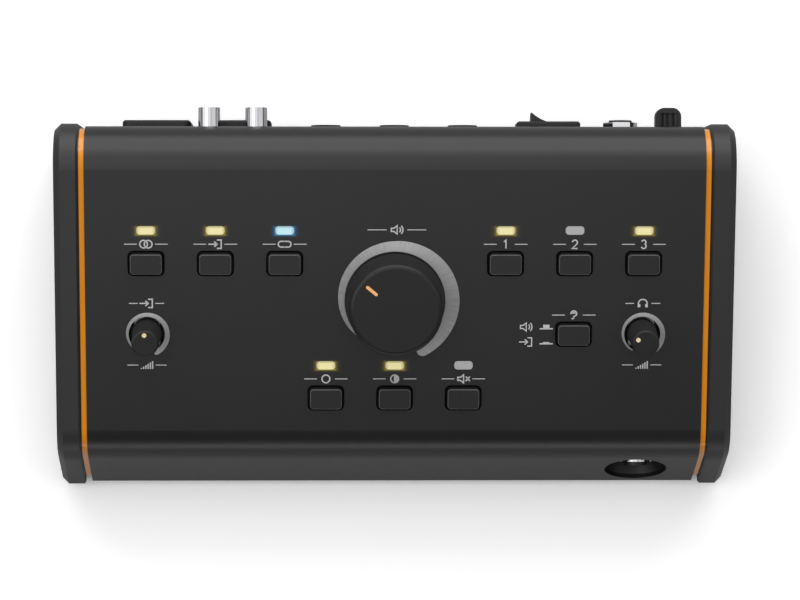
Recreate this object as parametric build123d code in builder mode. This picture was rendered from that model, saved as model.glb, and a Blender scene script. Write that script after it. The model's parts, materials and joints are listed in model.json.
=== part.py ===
from build123d import *

import os
from math import cos, radians, sin, tan

# Desktop studio monitor controller: a folded shell with a sloping control panel between two cheeks.
# Frame: +X to the user's right, +Y to the rear, +Z up, in millimetres. The origin is on the table, under
# the middle of the whole object. One side outline (rear wall, heel, panel, nose, front face) is shared
# by the shell, the tray's end walls, the coloured plates and the cheeks.

os.makedirs("parts", exist_ok=True)

# ---- body ---------------------------------------------------------------------------------------
overall_width = 256.0  # over both cheeks
body_depth = 136.6  # rear wall to the sharp lower edge of the front face
rear_corner_height = 63.4  # where rear wall and panel would meet, above the shell's lower edge
panel_slope = 12.0  # degrees, falling to the front
face_lean = 20.0  # degrees off the vertical, lower edge further forward
rear_radius = 14.0
nose_radius = 15.0
toe_radius = 2.0  # bend at the foot of the front face
sheet = 1.6  # shell and rear panel
tray_sheet = 1.5
seam = 0.1  # between sheet edges that pass without touching
tuck = 0.3  # end wall inside the shell
front_flange = 14.0  # shell's folded-in edge under the front
rear_foot_flange = 12.0
rear_top_flange = 10.0
heel_joint_drop = 0.4  # joint of shell and rear panel, below the heel's round
fold_radius = 1.0
foot_height = 3.0
foot_radius = 6.5
foot_from_end = 30.0
foot_from_edge = 17.0

# ---- cheeks and the coloured plates behind them ---------------------------------------------------
cheek_thickness = 9.0
cheek_lip = 1.0  # how far a cheek stands out past the shell's outline
cheek_bevel = 2.4
cheek_edge = 0.6
cheek_toe = 3.0
cheek_bottom = 3.4
accent_thickness = 2.5
accent_inset = 0.9  # depth of the plate's edge below the shell's outline
accent_bottom = 9.6
accent_corner = 1.5

# ---- controls -------------------------------------------------------------------------------------
panel_middle_back = 71.1  # middle of the control field, behind the foot of the front face
pitch = 26.0  # key to key
column_from_end = 23.0  # outer column of controls, from the shell's end
led_row = 26.7  # up the slope
key_row = 14.0
small_knob_row = -13.2
main_knob_row = -0.4
lower_led_row = -25.2
lower_key_row = -37.9

key_size = (12.8, 8.6)
key_corner = 1.7
key_gap = 0.6  # all round, in the panel's hole
key_proud = 2.6
key_draft = 10.0  # degrees, sides of the cap above the panel
key_rim = 0.4
key_skirt = 3.4  # below the panel's face
key_travel = 1.5
plunger_side = 3.2
plunger_play = 0.2
switch_side = 8.0
switch_height = 5.6

led_size = (7.0, 3.2)
led_corner = 1.3
led_gap = 0.08
led_proud = 0.3
led_flange = (0.4, 0.8)  # overhang and thickness under the panel
led_pipe_step = 0.3
led_chip = (3.2, 2.4, 1.2)

main_knob_height = 17.6  # above the panel
main_knob_foot_radius = 18.4
main_knob_top_radius = 17.5
main_knob_rim = 1.8
main_knob_gap = 0.8
main_knob_wall = 2.2
main_knob_roof = 2.4
main_hub_radius = 6.0
small_knob_height = 16.6
small_knob_foot_radius = 5.65
small_knob_top_radius = 5.05
small_knob_rim = 0.8
small_knob_sink = 3.0  # foot of a small knob below the panel's face
small_knob_play = 1.15
grip = 0.02  # knob bore over shaft
pointer_inner = 9.0
pointer_outer = 14.4
pointer_width = 1.2
pointer_depth = 0.5
inlay_proud = 0.05
dot_radius = 0.85
dot_offset = 3.2
dot_depth = 0.6
main_rest = -50.0  # degrees clockwise from the 12 o'clock position
aux_rest = -4.0
phones_rest = -64.0

shaft_radius = 3.0
shaft_play = 0.05
shaft_engagement = 7.6
shaft_root = 4.4  # length of shaft inside the pot
bushing_radius = 3.5
bushing_rise = 3.2
bolt_play = 0.15
pot_nut_across = 10.0
pot_nut_height = 2.2
main_pot_radius = 8.5
small_pot = (9.6, 11.0, 6.8)

# ---- boards ---------------------------------------------------------------------------------------
board = 1.6
board_corner = 2.0
board_drop = 12.0  # panel face to the control board's upper face
control_board_gap = 10.5  # to the shell's end
control_board_back = 30.0  # up the slope
control_board_front = 44.0  # down the slope
main_board_lift = 4.0  # above the tray's floor
main_board_gap = 11.5  # to the shell's end
main_board_back = 2.4  # in front of the rear wall's outer face
main_board_front = 17.4  # behind the foot of the front face
post_radius = 2.8  # over the corners
screw_bite = 0.05
board_screw_radius = 1.25
board_screw_length = 4.0
board_screw_head = (2.4, 1.4)
main_post_inset = 27.0  # from the board's end
main_post_rear = 42.0  # in front of the rear wall
main_post_front = 26.4  # behind the foot of the front face
control_post_inset = 4.0
outer_post_row = 25.0
middle_post = (60.0, -36.0)
inner_post = (20.0, 20.0)
ribbon_x = -60.0
ribbon_width = 20.0
ribbon_thickness = 0.9
ribbon_lead = 4.0
header_size = (24.0, 6.4)
main_header_height = 8.0
main_header_row = 53.4  # behind the foot of the front face
control_header_height = 7.0
control_header_row = -8.0

# ---- fasteners of the housing ---------------------------------------------------------------------
cheek_screw_radius = 1.45
cheek_screw_length = 10.0
cheek_screw_head = (2.8, 1.8)
rear_cheek_screws = ((14.0, 15.0), (14.0, 42.0))  # in front of the rear wall, height
front_cheek_screws = ((34.4, 33.0), (22.4, 14.0))  # behind the foot of the front face, height
base_screw_radius = 1.45
base_screw_head_radius = 2.8
base_screw_length = 4.8
base_screw_key = 1.1
base_screw_x = 35.0  # inner columns
base_screw_from_end = 12.5  # outer columns, from the shell's end
base_screw_rear = 7.0
base_screw_front = 8.0

# ---- rear panel -----------------------------------------------------------------------------------
panel_play = 0.1  # jack bodies in their cut-outs
combo_from_end = 26.1  # outer socket, from the shell's end
combo_pitch = 30.6
combo_width = 26.0
combo_height = 31.0
combo_flange = 3.0
combo_flange_corner = 2.5
combo_flange_bevel = 0.7
combo_body = 24.0
combo_body_corner = 7.0
combo_board_gap = 0.3  # under the round part of the body
combo_depth = 25.0
combo_well_radius = 9.6
combo_well_depth = 14.0
combo_core_radius = 7.6
combo_core_sink = 1.6
combo_floor = 2.0
xlr_circle = 5.4
xlr_hole_radius = 1.2
xlr_hole_depth = 10.0
combo_screw_radius = 1.25
combo_screw_head_radius = 2.1
combo_screw_head_drop = 0.15
combo_screw_length = 4.4  # ends inside the sheet
combo_screw_inset = 2.8
plug_radius = 3.2  # bores for a 6.35 mm plug
jack_mouth_radius = 3.8
mouth_depth = 0.2  # a combination socket's countersunk mouth ends this far behind the sheet
mouth_chamfer = 0.6  # depth of the other sockets' mouths
rca_from_end = 55.2
rca_pitch = 17.8
rca_drop = 6.9  # below the housing's joint
rca_radius = 4.15
rca_reach = 7.4
rca_root_radius = 4.7  # collar in the panel's hole
rca_wall = 0.9
rca_core_sink = 0.5
rca_core_bore = 1.6
rca_housing = (28.0, 10.0, 12.0)
output_pitch = 26.0
output_lower_rise = 10.5  # above the board
output_upper_drop = 8.6  # below the body's top
output_size = (16.0, 29.0)  # width, depth behind the sheet
output_top_gap = 1.1  # under the panel's folded edge
output_end_wall = 2.0
output_collar_radius = 5.6
output_collar_reach = 0.9
rear_row_drop = 14.3  # rocker, power inlet and hook, below the housing's joint
rocker_from_end = 57.9
rocker_bezel_size = (24.2, 15.0, 2.4)
rocker_opening = (17.6, 11.0)
rocker_wall = 1.3
rocker_depth = 14.0
rocker_well = 8.0
rocker_tilt = 14.0  # degrees to each side
rocker_half = 7.6
rocker_horn = 4.2  # raised ends over the pivot
rocker_dip = 2.2
rocker_keel = 5.2
rocker_play = 0.3
rocker_pin_radius = 1.0
rocker_pin_reach = 0.7
pin_play = 0.05
dc_from_end = 30.1
dc_barrel_radius = 4.4
dc_reach = 3.0
dc_shoulder_radius = 5.6
dc_depth = 14.0
dc_bore = 2.9
dc_mouth = 3.6
dc_end_wall = 3.0
dc_nut_across = 11.3
dc_nut_height = 2.2
hook_from_end = 11.9
hook_width = 9.8
hook_reach = 7.8
hook_height = 6.0
hook_bar = 2.0
hook_leg = 1.4
hook_root = 4.0  # legs behind the panel's outer face
hook_shoulder = 3.6

# ---- headphone socket in the front face -------------------------------------------------------------
phones_z = 20.8
phones_hole_radius = 11.9
cup_radius = 13.0
cup_bore = 12.3
cup_depth = 13.9  # floor behind the foot of the front face
cup_floor = 2.0
phones_nut_radius = 6.1
phones_nut_height = 3.0
phones_notch = (1.4, 0.9)
phones_bushing_radius = 4.5
phones_bushing_reach = 4.4
phones_jack_width = 16.0
phones_jack_depth = 26.0
phones_end_wall = 2.0

# ---- derived places ---------------------------------------------------------------------------------
slope = radians(panel_slope)
lean = radians(face_lean)
tray_top = foot_height + tray_sheet
shell_bottom = tray_top + seam
toe_loss = cheek_toe * (tan(lean) + 1 / cos(lean) - 1)  # a rounded toe reaches less far than a sharp one
cheek_reach = cheek_lip / cos(lean) + (shell_bottom - cheek_bottom) * tan(lean) - toe_loss
rear_y = (body_depth + cheek_reach - hook_reach) / 2
front_y = rear_y - body_depth
inner_y = rear_y - sheet
rear_corner_z = shell_bottom + rear_corner_height
joint_z = rear_corner_z - rear_radius * tan(radians(45 + panel_slope / 2)) - heel_joint_drop
half_shell = overall_width / 2 - cheek_thickness - accent_thickness
end_wall = half_shell - tray_sheet
rear_panel_half = end_wall - 2 * seam
panel_middle = body_depth - panel_middle_back
outer_column = half_shell - column_from_end
first_key = outer_column - 2 * pitch  # nearest key of each upper bank, from the middle
control_board_half = half_shell - control_board_gap
main_board_half = half_shell - main_board_gap
main_board_z = tray_top + main_board_lift
main_board_top = main_board_z + board
combo_x = [combo_from_end - half_shell + step * combo_pitch for step in range(2)]
combo_z = main_board_top + combo_board_gap + combo_body / 2
rca_middle = rca_from_end - half_shell
rca_z = joint_z - rca_drop
output_x = (-output_pitch, 0.0, output_pitch)
output_height = joint_z - sheet - output_top_gap - main_board_top
output_rows = (main_board_top + output_lower_rise, main_board_top + output_height - output_upper_drop)
rear_row_z = joint_z - rear_row_drop
rocker_x = half_shell - rocker_from_end
dc_x = half_shell - dc_from_end
hook_x = half_shell - hook_from_end
phones_x = outer_column
cup_back = body_depth - cup_depth  # in front of the rear wall
knob_bore = shaft_radius + grip
cheek_hole = cheek_screw_radius + screw_bite
base_hole = base_screw_radius + screw_bite
board_hole = board_screw_radius + screw_bite
combo_hole = combo_screw_radius + screw_bite


def side_corners(inset, bottom):
    """Sharp corners of the side outline moved in by inset: rear foot, heel, nose and toe."""
    heel_z = rear_corner_z - inset / cos(slope) - inset * tan(slope)
    toe_line = front_y + inset / cos(lean)
    nose_drop = tan(slope) * (rear_y - inset - toe_line + shell_bottom * tan(lean))
    nose_z = (heel_z - nose_drop) / (1 - tan(slope) * tan(lean))
    return (
        (rear_y - inset, bottom),
        (rear_y - inset, heel_z),
        (toe_line + (nose_z - shell_bottom) * tan(lean), nose_z),
        (toe_line + (bottom - shell_bottom) * tan(lean), bottom),
    )


def side_outline(inset, bottom, heel=0.0, toe=0.0, mode=Mode.ADD):
    """Adds the side outline, moved in by inset, to a sketch on a YZ plane."""
    with BuildLine() as outline:
        radii = (heel, rear_radius - inset, nose_radius - inset, toe)
        FilletPolyline(*side_corners(inset, bottom), radius=radii, close=True)
    make_face(outline.edges(), mode=mode)


panel = Plane(
    origin=(0, rear_y - panel_middle, rear_corner_z - panel_middle * tan(slope)),
    x_dir=(1, 0, 0),
    z_dir=(0, -sin(slope), cos(slope)),
)
panel_axis = Axis(panel.origin, panel.z_dir)


def on_panel(height=0.0, place=(0, 0)):
    """Plane parallel to the panel at a height over its face, its origin over a place on it."""
    return Plane(panel.from_local_coords((*place, height)), x_dir=panel.x_dir, z_dir=panel.z_dir)


def standing_on_panel(place):
    """Plane for turned profiles: local x across the panel, local y along the panel's normal."""
    return Plane(panel.from_local_coords((*place, 0)), x_dir=panel.x_dir, z_dir=-panel.y_dir)


def turning_axis(place):
    """Axis along the panel's normal through a place on it."""
    return Axis(panel.from_local_coords((*place, 0)), panel.z_dir)


def rear_face(x, z, out=0.0):
    """Plane parallel to the rear wall, out past its outer face, facing the rear, with local y up."""
    return Plane((x, rear_y + out, z), x_dir=(-1, 0, 0), z_dir=(0, 1, 0))


def rear_profile(x, z):
    """Level plane for profiles of rear parts: local x sideways, local y out of the rear wall."""
    return Plane((x, rear_y, z), x_dir=(1, 0, 0), z_dir=(0, 0, 1))


def front_station(depth, x=phones_x, z=phones_z):
    """Plane facing the front at a depth in front of the rear wall."""
    return Plane((x, rear_y - depth, z), x_dir=(1, 0, 0), z_dir=(0, -1, 0))


def clock(radius, degrees):
    """Place at a radius and a clockwise angle from 12 o'clock."""
    return (radius * sin(radians(degrees)), radius * cos(radians(degrees)))


def keep(piece, name):
    """Labels a finished sub-part and writes its file."""
    piece.part.label = name
    export_step(piece.part, f"parts/{name}.step")


upper_columns = [side * (first_key + step * pitch) for side in (-1, 1) for step in range(3)]
keys = {
    "stereo_key": (-outer_column, key_row),
    "aux_key": (-first_key - pitch, key_row),
    "pair_key": (-first_key, key_row),
    "output_1_key": (first_key, key_row),
    "output_2_key": (first_key + pitch, key_row),
    "output_3_key": (outer_column, key_row),
    "listen_key": (first_key + pitch, small_knob_row),
    "mono_key": (-pitch, lower_key_row),
    "dim_key": (0, lower_key_row),
    "mute_key": (pitch, lower_key_row),
}
pair_leds = [(-first_key, led_row)]
dark_leds = [(first_key + pitch, led_row), (pitch, lower_led_row)]
all_leds = [(x, led_row) for x in upper_columns] + [(step * pitch, lower_led_row) for step in (-1, 0, 1)]
warm_leds = [place for place in all_leds if place not in pair_leds + dark_leds]
main_place = (0, main_knob_row)
aux_place = (-outer_column, small_knob_row)
phones_place = (outer_column, small_knob_row)
small_knob_hole = small_knob_foot_radius + small_knob_play
front_screw_y = front_y + base_screw_front
rear_screw_y = rear_y - base_screw_rear
base_columns = [side * x for side in (-1, 1) for x in (base_screw_x, half_shell - base_screw_from_end)]
front_screws = [(x, front_screw_y) for x in base_columns]
rear_screws = [(x, rear_screw_y) for x in base_columns]
cheek_spots = [(rear_y - depth, z) for depth, z in rear_cheek_screws]
cheek_spots += [(front_y + depth, z) for depth, z in front_cheek_screws]
main_post_x = main_board_half - main_post_inset
main_post_rows = (rear_y - main_post_rear, front_y + main_post_front)
main_posts = [(x, y) for x in (-main_post_x, 0, main_post_x) for y in main_post_rows]
combo_screw_x = combo_width / 2 - combo_screw_inset
combo_screw_z = combo_height / 2 - combo_screw_inset
combo_screw_spots = [(side * combo_screw_x, side * combo_screw_z) for side in (-1, 1)]
outer_post = (control_board_half - control_post_inset, outer_post_row)
panel_posts = [(side * x, y) for side in (-1, 1) for x, y in (outer_post, middle_post, inner_post)]

# ---- housing ------------------------------------------------------------------------------------
with BuildPart() as top_shell:
    with BuildSketch(Plane.YZ):
        side_outline(0, shell_bottom, toe=toe_radius)
        side_outline(sheet, shell_bottom + sheet, toe=toe_radius - sheet, mode=Mode.SUBTRACT)
        # open below, behind the folded-in edge
        with Locations((front_y + front_flange, shell_bottom)):
            Rectangle(body_depth, sheet, align=(Align.MIN, Align.MIN), mode=Mode.SUBTRACT)
        # open at the rear, below the heel
        with Locations((rear_y, shell_bottom)):
            rear_gap = joint_z - shell_bottom
            Rectangle(sheet, rear_gap, align=(Align.MAX, Align.MIN), mode=Mode.SUBTRACT)
    extrude(amount=half_shell, both=True)
    # the folded-in edge stops short of the tray's end walls
    for side in (-1, 1):
        with BuildSketch(Plane.YZ.offset(side * (end_wall - seam))):
            side_outline(sheet + seam, shell_bottom)
        extrude(amount=side * (tray_sheet + 2 * seam), mode=Mode.SUBTRACT)
    with BuildSketch(panel):
        with Locations(*keys.values()):
            RectangleRounded(key_size[0] + 2 * key_gap, key_size[1] + 2 * key_gap, key_corner + key_gap)
        with Locations(*all_leds):
            RectangleRounded(led_size[0] + 2 * led_gap, led_size[1] + 2 * led_gap, led_corner + led_gap)
        with Locations(main_place):
            Circle(bushing_radius + bolt_play)
        with Locations(aux_place, phones_place):
            Circle(small_knob_hole)
    extrude(amount=-2 * sheet, mode=Mode.SUBTRACT)
    face_y = front_y + (phones_z - shell_bottom) * tan(lean)
    front_face = Plane((phones_x, face_y, phones_z), x_dir=(1, 0, 0), z_dir=(0, -cos(lean), sin(lean)))
    with BuildSketch(front_face):
        Circle(phones_hole_radius)
    extrude(amount=-2 * sheet, mode=Mode.SUBTRACT)
    with BuildSketch(Plane.XY.offset(shell_bottom)):
        with Locations(*front_screws):
            Circle(base_hole)
    extrude(amount=sheet, mode=Mode.SUBTRACT)
keep(top_shell, "top_shell")

with BuildPart() as rear_panel:
    with BuildSketch(Plane.YZ):
        with BuildLine() as fold:
            FilletPolyline(
                (rear_y - rear_foot_flange, tray_top),
                (rear_y, tray_top),
                (rear_y, joint_z),
                (rear_y - rear_top_flange, joint_z),
                (rear_y - rear_top_flange, joint_z - sheet),
                (inner_y, joint_z - sheet),
                (inner_y, tray_top + sheet),
                (rear_y - rear_foot_flange, tray_top + sheet),
                radius=(0, fold_radius, fold_radius, 0, 0, 0, 0, 0),
                close=True,
            )
        make_face(fold.edges())
    extrude(amount=rear_panel_half, both=True)
    for x in combo_x:
        with BuildSketch(rear_face(x, combo_z)):
            RectangleRounded(combo_body + 2 * panel_play, combo_body + 2 * panel_play, combo_body_corner)
            with Locations(*combo_screw_spots):
                Circle(combo_hole)
        extrude(amount=-sheet, mode=Mode.SUBTRACT)
    with BuildSketch(rear_face(0, 0)):
        # seen from behind, so the places are mirrored
        with Locations(*[(-rca_middle + side * rca_pitch / 2, rca_z) for side in (-1, 1)]):
            Circle(rca_root_radius + panel_play)
        with Locations(*[(-x, z) for x in output_x for z in output_rows]):
            Circle(output_collar_radius + panel_play)
        with Locations((-rocker_x, rear_row_z)):
            Rectangle(
                rocker_opening[0] + 2 * (rocker_wall + panel_play),
                rocker_opening[1] + 2 * (rocker_wall + panel_play),
            )
        with Locations((-dc_x, rear_row_z)):
            Circle(dc_barrel_radius + panel_play)
        hook_legs = [(-hook_x + side * (hook_width - hook_leg) / 2, rear_row_z) for side in (-1, 1)]
        with Locations(*hook_legs):
            Rectangle(hook_leg + 2 * seam, hook_shoulder + 2 * seam)
    extrude(amount=-sheet, mode=Mode.SUBTRACT)
    with BuildSketch(Plane.XY.offset(tray_top)):
        with Locations(*rear_screws):
            Circle(base_hole)
    extrude(amount=sheet, mode=Mode.SUBTRACT)
keep(rear_panel, "rear_panel")

with BuildPart() as base_tray:
    tray_front = side_corners(sheet + tuck, foot_height)[3][0]
    with BuildSketch(Plane.XY.offset(foot_height)):
        with Locations((0, rear_y)):
            Rectangle(2 * half_shell, rear_y - tray_front, align=(Align.CENTER, Align.MAX))
    extrude(amount=tray_sheet)
    for side in (-1, 1):
        with BuildSketch(Plane.YZ.offset(side * end_wall)):
            side_outline(sheet + tuck, foot_height, toe=fold_radius)
            with Locations(*cheek_spots):
                Circle(cheek_hole, mode=Mode.SUBTRACT)
        extrude(amount=side * tray_sheet)
    for y_row in (front_screws, rear_screws):
        with Locations(*[Location((x, y, foot_height), (180, 0, 0)) for x, y in y_row]):
            CounterSinkHole(base_hole, base_screw_head_radius, depth=tray_sheet, counter_sink_angle=90)
keep(base_tray, "base_tray")

with BuildPart() as rubber_feet:
    foot_x = half_shell - foot_from_end
    foot_rows = (front_y + foot_from_edge, rear_y - foot_from_edge)
    with BuildSketch():
        with Locations(*[(side * foot_x, y) for side in (-1, 1) for y in foot_rows]):
            Circle(foot_radius)
    extrude(amount=foot_height)
    fillet(rubber_feet.edges().filter_by(GeomType.CIRCLE).group_by(Axis.Z)[0], 0.6)
keep(rubber_feet, "rubber_feet")

# ---- cheeks, plates and their screws ------------------------------------------------------------
for side, name in ((-1, "left"), (1, "right")):
    with BuildPart() as cheek:
        with BuildSketch(Plane.YZ.offset(side * (overall_width / 2 - cheek_thickness))):
            side_outline(-cheek_lip, cheek_bottom, heel=cheek_toe, toe=cheek_toe)
        extrude(amount=side * cheek_thickness)
        faces_out = cheek.faces().sort_by(Axis.X)
        chamfer(faces_out[-1 if side > 0 else 0].edges(), cheek_bevel)
        chamfer(cheek.faces().sort_by(Axis.X)[0 if side > 0 else -1].edges(), cheek_edge)
        with BuildSketch(Plane.YZ.offset(side * (overall_width / 2 - cheek_thickness))):
            with Locations(*cheek_spots):
                Circle(cheek_hole)
        thread = cheek_screw_length - tray_sheet - accent_thickness + 0.5
        extrude(amount=side * thread, mode=Mode.SUBTRACT)
    keep(cheek, f"{name}_cheek")

    with BuildPart() as accent:
        with BuildSketch(Plane.YZ.offset(side * half_shell)):
            side_outline(accent_inset, accent_bottom, heel=accent_corner, toe=accent_corner)
            with Locations(*cheek_spots):
                Circle(cheek_hole, mode=Mode.SUBTRACT)
        extrude(amount=side * accent_thickness)
    keep(accent, f"{name}_accent_plate")


def pan_screws(name, planes, radius, length, head):
    """Writes round-headed screws as one piece; each plane lies under a head and faces its top."""
    with BuildPart() as screws:
        for plane in planes:
            with BuildSketch(plane):
                Circle(radius)
            extrude(amount=-length)
            with BuildSketch(plane):
                Circle(head[0])
            extrude(amount=head[1])
    keep(screws, name)


cheek_screw_planes = []
for side in (-1, 1):
    for y, z in cheek_spots:
        cheek_screw_planes.append(Plane((side * end_wall, y, z), x_dir=(0, 1, 0), z_dir=(-side, 0, 0)))
pan_screws("cheek_screws", cheek_screw_planes, cheek_screw_radius, cheek_screw_length, cheek_screw_head)

with BuildPart() as base_screws:
    for x, y in front_screws + rear_screws:
        with BuildSketch(Plane.XY.offset(foot_height)):
            with Locations((x, y)):
                Circle(base_screw_radius)
        extrude(amount=base_screw_length)
        cone_height = base_screw_head_radius - base_screw_radius - 2 * screw_bite
        with Locations((x, y, foot_height)):
            Cone(
                base_screw_head_radius - screw_bite,
                base_screw_radius,
                cone_height,
                align=(Align.CENTER, Align.CENTER, Align.MIN),
            )
        with BuildSketch(Plane.XY.offset(foot_height)):
            with Locations((x, y)):
                RegularPolygon(base_screw_key, 6)
        extrude(amount=0.8, mode=Mode.SUBTRACT)
keep(base_screws, "base_screws")

# ---- boards and what stands on them -----------------------------------------------------------------
with BuildPart() as control_board:
    with BuildSketch(on_panel(-board_drop)):
        middle = (control_board_back - control_board_front) / 2
        with Locations((0, middle)):
            RectangleRounded(2 * control_board_half, control_board_back + control_board_front, board_corner)
        with Locations(*panel_posts):
            Circle(board_screw_radius + bolt_play, mode=Mode.SUBTRACT)
    extrude(amount=-board)
keep(control_board, "control_board")

with BuildPart() as control_board_posts:
    with BuildSketch(on_panel(-board_drop)):
        with Locations(*panel_posts):
            RegularPolygon(post_radius, 6)
            Circle(board_hole, mode=Mode.SUBTRACT)
    extrude(amount=board_drop - sheet)
keep(control_board_posts, "control_board_posts")

with BuildPart() as main_board:
    with BuildSketch(Plane.XY.offset(main_board_z)):
        board_depth = body_depth - main_board_front - main_board_back
        with Locations((0, rear_y - main_board_back - board_depth / 2)):
            RectangleRounded(2 * main_board_half, board_depth, board_corner)
        with Locations(*main_posts):
            Circle(board_screw_radius + bolt_play, mode=Mode.SUBTRACT)
    extrude(amount=board)
keep(main_board, "main_board")

with BuildPart() as main_board_posts:
    with BuildSketch(Plane.XY.offset(tray_top)):
        with Locations(*main_posts):
            RegularPolygon(post_radius, 6)
            Circle(board_hole, mode=Mode.SUBTRACT)
    extrude(amount=main_board_lift)
keep(main_board_posts, "main_board_posts")

under_control_board = -board_drop - board
board_screw_planes = [Plane((x, y, main_board_top)) for x, y in main_posts]
for post in panel_posts:
    under = Plane(on_panel(under_control_board, post).origin, x_dir=panel.x_dir, z_dir=-panel.z_dir)
    board_screw_planes.append(under)
pan_screws("board_screws", board_screw_planes, board_screw_radius, board_screw_length, board_screw_head)

header_foot = Plane((ribbon_x, front_y + main_header_row, main_board_top))
header_roof = on_panel(under_control_board, (ribbon_x, control_header_row))
with BuildPart() as ribbon_headers:
    with BuildSketch(header_foot):
        Rectangle(*header_size)
    extrude(amount=main_header_height)
    with BuildSketch(header_roof):
        Rectangle(*header_size)
    extrude(amount=-control_header_height)
keep(ribbon_headers, "ribbon_headers")

with BuildPart() as ribbon_cable:
    low = header_foot.from_local_coords((0, 0, main_header_height))
    low_lead = header_foot.from_local_coords((0, 0, main_header_height + ribbon_lead))
    high_lead = header_roof.from_local_coords((0, 0, -control_header_height - ribbon_lead))
    high = header_roof.from_local_coords((0, 0, -control_header_height))
    with BuildLine() as route:
        FilletPolyline(low, low_lead, high_lead, high, radius=1.6)
    with BuildSketch(Plane(low, x_dir=(1, 0, 0), z_dir=(0, 0, 1))):
        Rectangle(ribbon_width, ribbon_thickness)
    sweep(path=route.wire())
keep(ribbon_cable, "ribbon_cable")

with BuildPart() as key_switches:
    with BuildSketch(on_panel(-board_drop)):
        with Locations(*keys.values()):
            RectangleRounded(switch_side, switch_side, 0.8)
    extrude(amount=switch_height)
    with BuildSketch(on_panel(switch_height - board_drop)):
        with Locations(*keys.values()):
            Rectangle(plunger_side + 2 * plunger_play, plunger_side + 2 * plunger_play)
    extrude(amount=1.0 - switch_height, mode=Mode.SUBTRACT)
keep(key_switches, "key_switches")

plunger_foot = 1.0 + key_travel + 0.5 - board_drop
for name, place in keys.items():
    with BuildPart() as key:
        with BuildSketch(on_panel(-key_skirt, place)):
            RectangleRounded(*key_size, key_corner)
        extrude(amount=key_skirt)
        with BuildSketch(on_panel(0, place)):
            RectangleRounded(*key_size, key_corner)
        extrude(amount=key_proud, taper=key_draft)
        fillet(key.faces().sort_by(panel_axis)[-1].edges(), key_rim)
        with BuildSketch(on_panel(-key_skirt, place)):
            Rectangle(plunger_side, plunger_side)
        extrude(amount=plunger_foot + key_skirt)
    keep(key, name)

with BuildPart() as led_chips:
    with BuildSketch(on_panel(-board_drop)):
        with Locations(*all_leds):
            Rectangle(led_chip[0], led_chip[1])
    extrude(amount=led_chip[2])
keep(led_chips, "led_chips")


def led_windows(name, places):
    """Writes light pipes: a window in the panel, a flange under it and a stem down to its lamp."""
    with BuildPart() as windows:
        with BuildSketch(on_panel(-sheet)):
            with Locations(*places):
                RectangleRounded(*led_size, led_corner)
        extrude(amount=sheet + led_proud)
        with BuildSketch(on_panel(-sheet)):
            with Locations(*places):
                RectangleRounded(*[side + 2 * led_flange[0] for side in led_size], led_corner)
        extrude(amount=-led_flange[1])
        with BuildSketch(on_panel(led_chip[2] - board_drop)):
            with Locations(*places):
                RectangleRounded(*[side - 2 * led_pipe_step for side in led_size], led_corner / 2)
        extrude(amount=board_drop - led_chip[2] - sheet)
    keep(windows, name)


led_windows("warm_led_windows", warm_leds)
led_windows("pair_led_window", pair_leds)
led_windows("dark_led_windows", dark_leds)

# ---- rotary controls ----------------------------------------------------------------------------
shaft_top = main_knob_height - main_knob_roof
with BuildPart() as main_pot_body:
    with BuildSketch(on_panel(-board_drop, main_place)):
        Circle(main_pot_radius)
    extrude(amount=board_drop - sheet)
    with BuildSketch(on_panel(-sheet, main_place)):
        Circle(bushing_radius)
    extrude(amount=sheet + bushing_rise)
    with BuildSketch(on_panel(bushing_rise, main_place)):
        Circle(shaft_radius + shaft_play)
    extrude(amount=-bushing_rise - sheet - shaft_root, mode=Mode.SUBTRACT)
keep(main_pot_body, "main_pot_body")

with BuildPart() as main_pot_nut:
    with BuildSketch(on_panel(0, main_place)):
        RegularPolygon(pot_nut_across / 2, 6, major_radius=False)
        Circle(bushing_radius + screw_bite, mode=Mode.SUBTRACT)
    extrude(amount=pot_nut_height)
keep(main_pot_nut, "main_pot_nut")

with BuildPart() as main_pot_shaft:
    with BuildSketch(on_panel(-sheet - shaft_root, main_place)):
        Circle(shaft_radius)
    extrude(amount=sheet + shaft_root + shaft_top)
keep(main_pot_shaft, "main_pot_shaft")

with BuildPart() as main_knob:
    hub_foot = bushing_rise + 0.4
    roof = main_knob_height - main_knob_roof
    with BuildSketch(standing_on_panel(main_place)):
        with BuildLine() as profile:
            FilletPolyline(
                (0, main_knob_height),
                (main_knob_top_radius, main_knob_height),
                (main_knob_foot_radius, main_knob_gap),
                (main_knob_foot_radius - main_knob_wall, main_knob_gap),
                (main_knob_top_radius - main_knob_wall, roof),
                (main_hub_radius, roof),
                (main_hub_radius, hub_foot),
                (knob_bore, hub_foot),
                (knob_bore, shaft_top),
                (0, shaft_top),
                radius=(0, main_knob_rim, 0.3, 0.3, 1.0, 0, 0, 0, 0, 0),
                close=True,
            )
        make_face(profile.edges())
    revolve(axis=turning_axis(main_place))
    groove_middle = clock((pointer_inner + pointer_outer) / 2, main_rest)
    groove_length = pointer_outer - pointer_inner
    with BuildSketch(on_panel(main_knob_height, main_place)):
        with Locations(groove_middle):
            SlotOverall(groove_length, pointer_width, rotation=90 - main_rest)
    extrude(amount=-pointer_depth, mode=Mode.SUBTRACT)
keep(main_knob, "main_knob")

with BuildPart() as main_knob_pointer:
    with BuildSketch(on_panel(main_knob_height - pointer_depth, main_place)):
        with Locations(groove_middle):
            SlotOverall(groove_length, pointer_width, rotation=90 - main_rest)
    extrude(amount=pointer_depth + inlay_proud)
keep(main_knob_pointer, "main_knob_pointer")


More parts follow.
